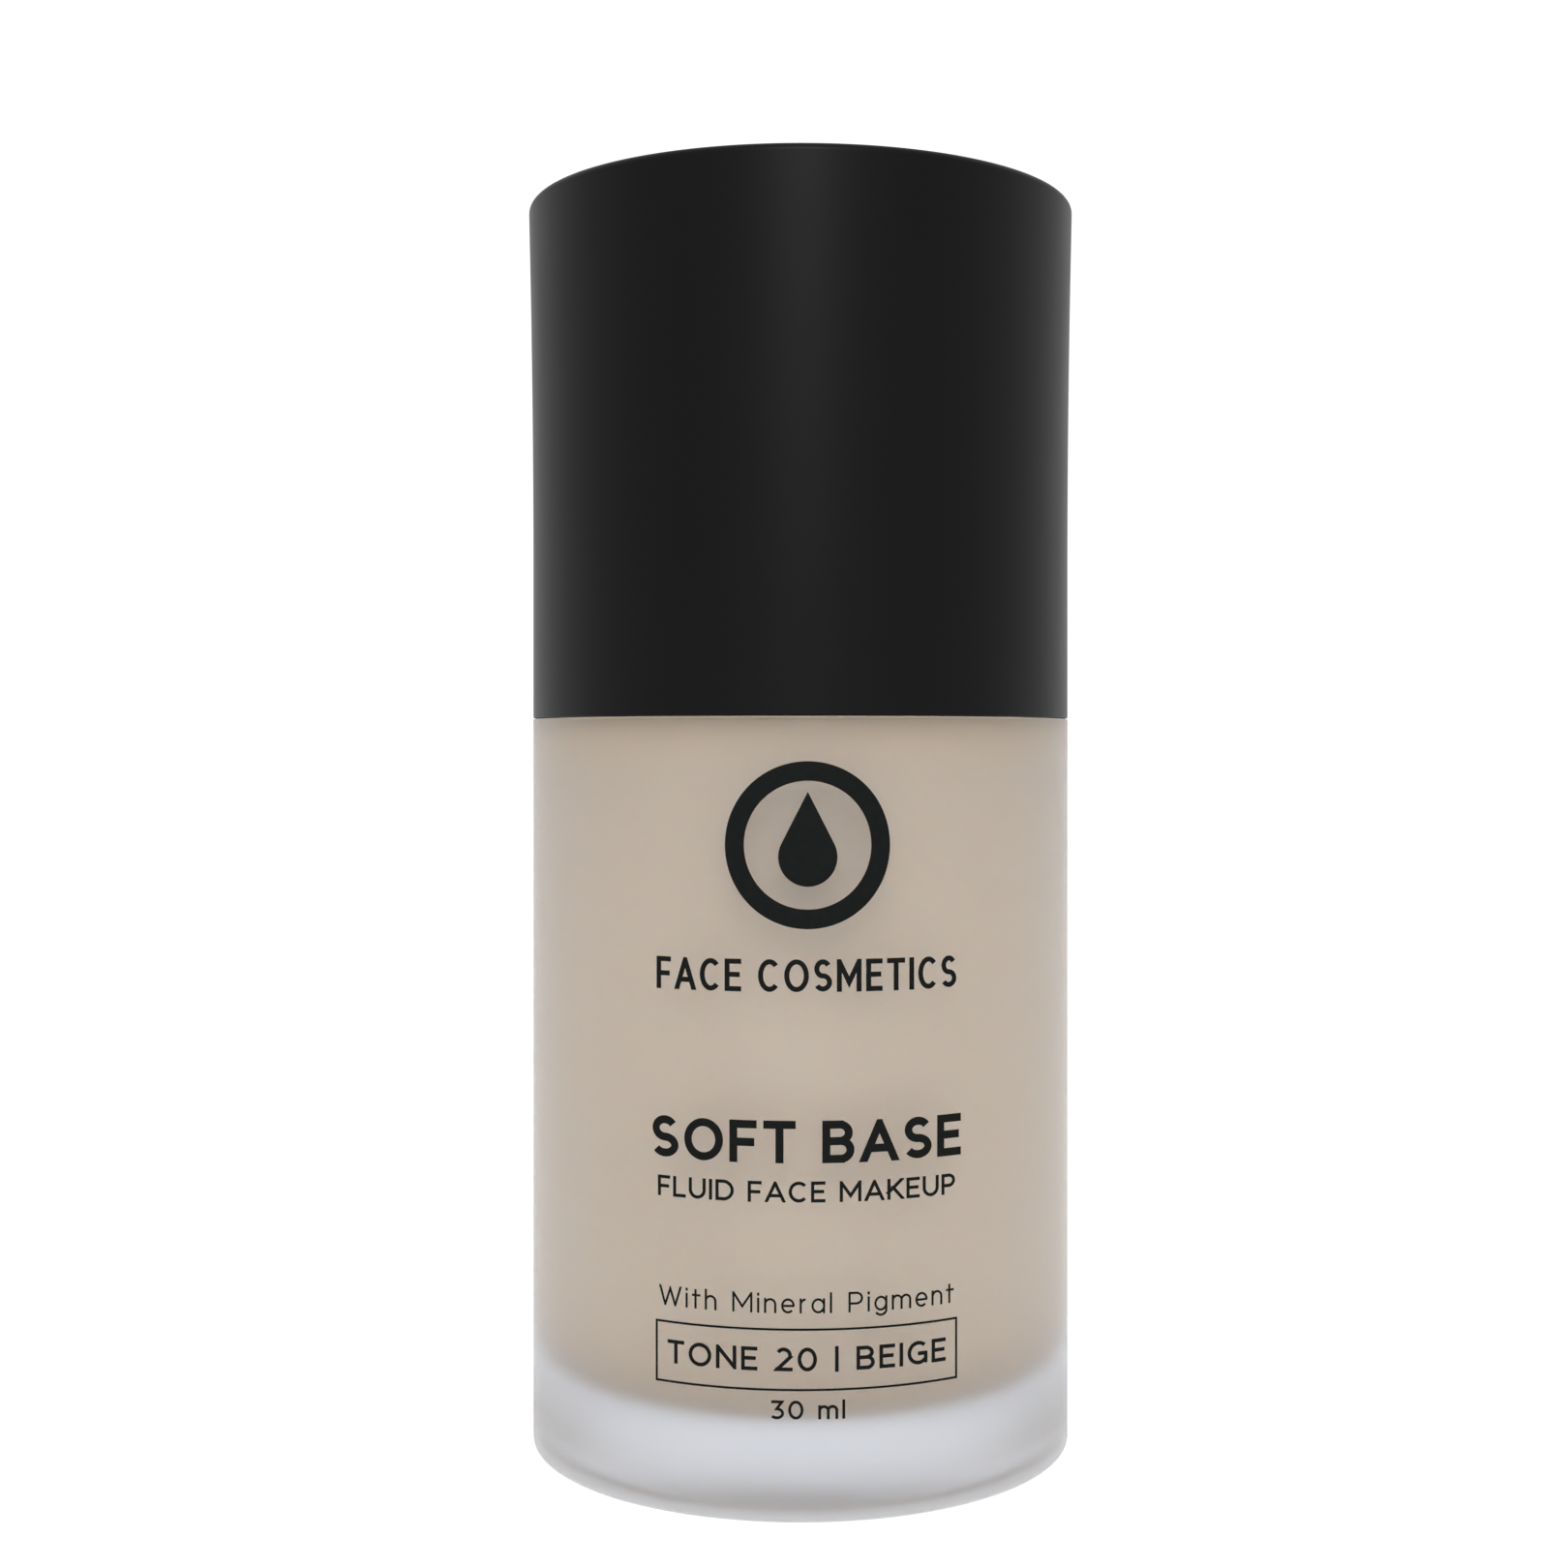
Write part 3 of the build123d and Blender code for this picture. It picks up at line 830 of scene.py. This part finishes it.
def build_print():
    """The lines of the label. Heights are above the foot."""
    wide = 19.6
    box = frame_faces(wide, 8.2, 11.9, 0.13)
    shade = text_faces("TONE 20 | BEIGE", 9.35, 1.45, 0.155, 18.0)
    lines = {
        "emblem": emblem_faces(36.45, 46.75, 1.2),
        "maker_line": text_faces("FACE COSMETICS", 32.6, 2.0, 0.155, wide, 0.68),
        "title": text_faces("SOFT BASE", 22.1, 2.6, 0.19, 20.3, 0.9),
        "subtitle": text_faces("FLUID FACE MAKEUP", 19.7, 1.28, 0.155, 19.4),
        "use_line": text_faces("With Mineral Pigment", 12.9, 1.25, 0.105, 19.2),
        "shade_box": box + shade,
        "content": text_faces("30 ml", 6.4, 1.15, 0.15, 4.6),
    }
    for name, faces in lines.items():
        wrap_print(f"print_{name}", faces, BODY_R)


# ---------------------------------------------------------------- pump


def paint(node, material):
    """Gives a CAD node its finished material."""
    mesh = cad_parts[node].data
    mesh.materials.clear()
    mesh.materials.append(material)


def build_spring():
    """Wound wire, with its end coils closed up and ground flat."""
    low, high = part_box("return_spring")
    low_z, high_z = low.z / MM, high.z / MM
    coil_r = high.x / MM - WIRE_R
    closed = 2 * WIRE_R + 0.02
    wound = high_z - low_z + 2 * GROUND - 2 * WIRE_R
    open_rise = (wound - 2 * closed) / (COILS - 2)
    height = low_z + WIRE_R - GROUND
    verts, faces = [], []
    for station in range(COILS * COIL_STEPS + 1):
        coil = station / COIL_STEPS
        opened = min(1, max(0, coil - CLOSED_COILS) * 2, max(0, COILS - CLOSED_COILS - coil) * 2)
        eased = opened * opened * (3 - 2 * opened)
        angle = math.tau * coil
        for facet in range(WIRE_FACETS):
            around = math.tau * facet / WIRE_FACETS
            reach = coil_r + WIRE_R * math.cos(around)
            level = height + WIRE_R * math.sin(around)
            level = min(max(level, low_z), high_z)
            verts.append((reach * math.cos(angle), reach * math.sin(angle), level))
        height += (closed + (open_rise - closed) * eased) / COIL_STEPS
        if station:
            start = (station - 1) * WIRE_FACETS
            for facet in range(WIRE_FACETS):
                ahead = (facet + 1) % WIRE_FACETS
                corners = [facet, ahead, ahead + WIRE_FACETS, facet + WIRE_FACETS]
                faces.append([start + corner for corner in corners])
    last = len(verts) - WIRE_FACETS
    faces.append(list(reversed(range(WIRE_FACETS))))
    faces.append(list(range(last, last + WIRE_FACETS)))
    spring = add_mesh("spring_wire", verts, faces, SPRING_STEEL, 50.0)
    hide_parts("return_spring")
    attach(spring, "pump")
    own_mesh(spring)


def finish_pump():
    """Materials for the pieces that keep their CAD meshes."""
    paint("dip_tube", TUBE_CLEAR)
    paint("pump_housing", NATURAL)
    paint("ball_retainer", NATURAL)
    paint("piston_rod", NATURAL)
    paint("pump_stem", NATURAL)
    paint("stem_guide", NATURAL)
    paint("piston_seal", SEAL_WHITE)
    paint("neck_gasket", FOAM)
    paint("inlet_ball", BALL_STEEL)
    paint("screw_collar", CLOSURE_BLACK)
    paint("collar_sleeve", PUMP_BLACK)
    paint("actuator_button", PUMP_BLACK)
    paint("nozzle_insert", PUMP_BLACK)
    paint("overcap_liner", LINER_BLACK)


# ---------------------------------------------------------------- stage, light and camera


def build_stage():
    """A pale floor that the light carries to white."""
    corners = [(-1, -1), (1, -1), (1, 1), (-1, 1)]
    verts = [(x * FLOOR_REACH, y * FLOOR_REACH, -FLOOR_GAP) for x, y in corners]
    finish = Finish("pale_floor")
    finish.set(Base_Color=(0.8, 0.8, 0.805, 1), Roughness=0.7, Specular_IOR_Level=0.1)
    finish.set(Emission_Color=(1, 1, 1, 1), Emission_Strength=0.35)
    floor = add_mesh("floor", verts, [(0, 1, 2, 3)], finish.material)


def area_light(name, place, aim, size, power):
    """A soft rectangular light. Sizes and places are in millimetres."""
    light = bpy.data.lights.new(name, "AREA")
    light.shape = "RECTANGLE"
    light.size = size[0] * MM
    light.size_y = size[1] * MM
    light.energy = power
    lamp = bpy.data.objects.new(name, light)
    lamp.location = Vector(place) * MM
    aim_at(lamp, aim)
    bpy.context.scene.collection.objects.link(lamp)


def aim_at(thing, target):
    """Turns a camera or a light to look at a point."""
    away = Vector(target) * MM - thing.location
    thing.rotation_euler = away.to_track_quat("-Z", "Y").to_euler()


def build_light():
    """White surroundings, with one soft light from above the front."""
    scene = bpy.context.scene
    world = bpy.data.worlds.new("studio")
    world.use_nodes = True
    world.node_tree.nodes["Background"].inputs["Color"].default_value = (1, 1, 1, 1)
    world.node_tree.nodes["Background"].inputs["Strength"].default_value = 1.08
    scene.world = world
    scene.view_settings.view_transform = "Standard"
    scene.view_settings.look = "None"
    area_light("front_soft", (0, -420, 330), (0, 0, 60), (100, 300), 1.5)


def build_camera():
    """A normal lens, level with the middle of the bottle."""
    scene = bpy.context.scene
    lens = bpy.data.cameras.new("camera")
    lens.lens = 50
    lens.sensor_width = 36
    lens.clip_start = 0.005
    lens.clip_end = 50
    lens.shift_x = -0.0105
    lens.shift_y = -0.0265
    camera = bpy.data.objects.new("camera", lens)
    turn = math.radians(CAMERA_TURN)
    place = Vector((-math.sin(turn), -math.cos(turn), 0)) * CAMERA_AWAY
    camera.location = (place + Vector((0, 0, CAMERA_HIGH))) * MM
    aim_at(camera, (0, 0, CAMERA_HIGH))
    scene.collection.objects.link(camera)
    scene.camera = camera


build_camera()
build_glass()
build_liquid()
build_overcap()
build_print()
build_spring()
finish_pump()
build_stage()
build_light()
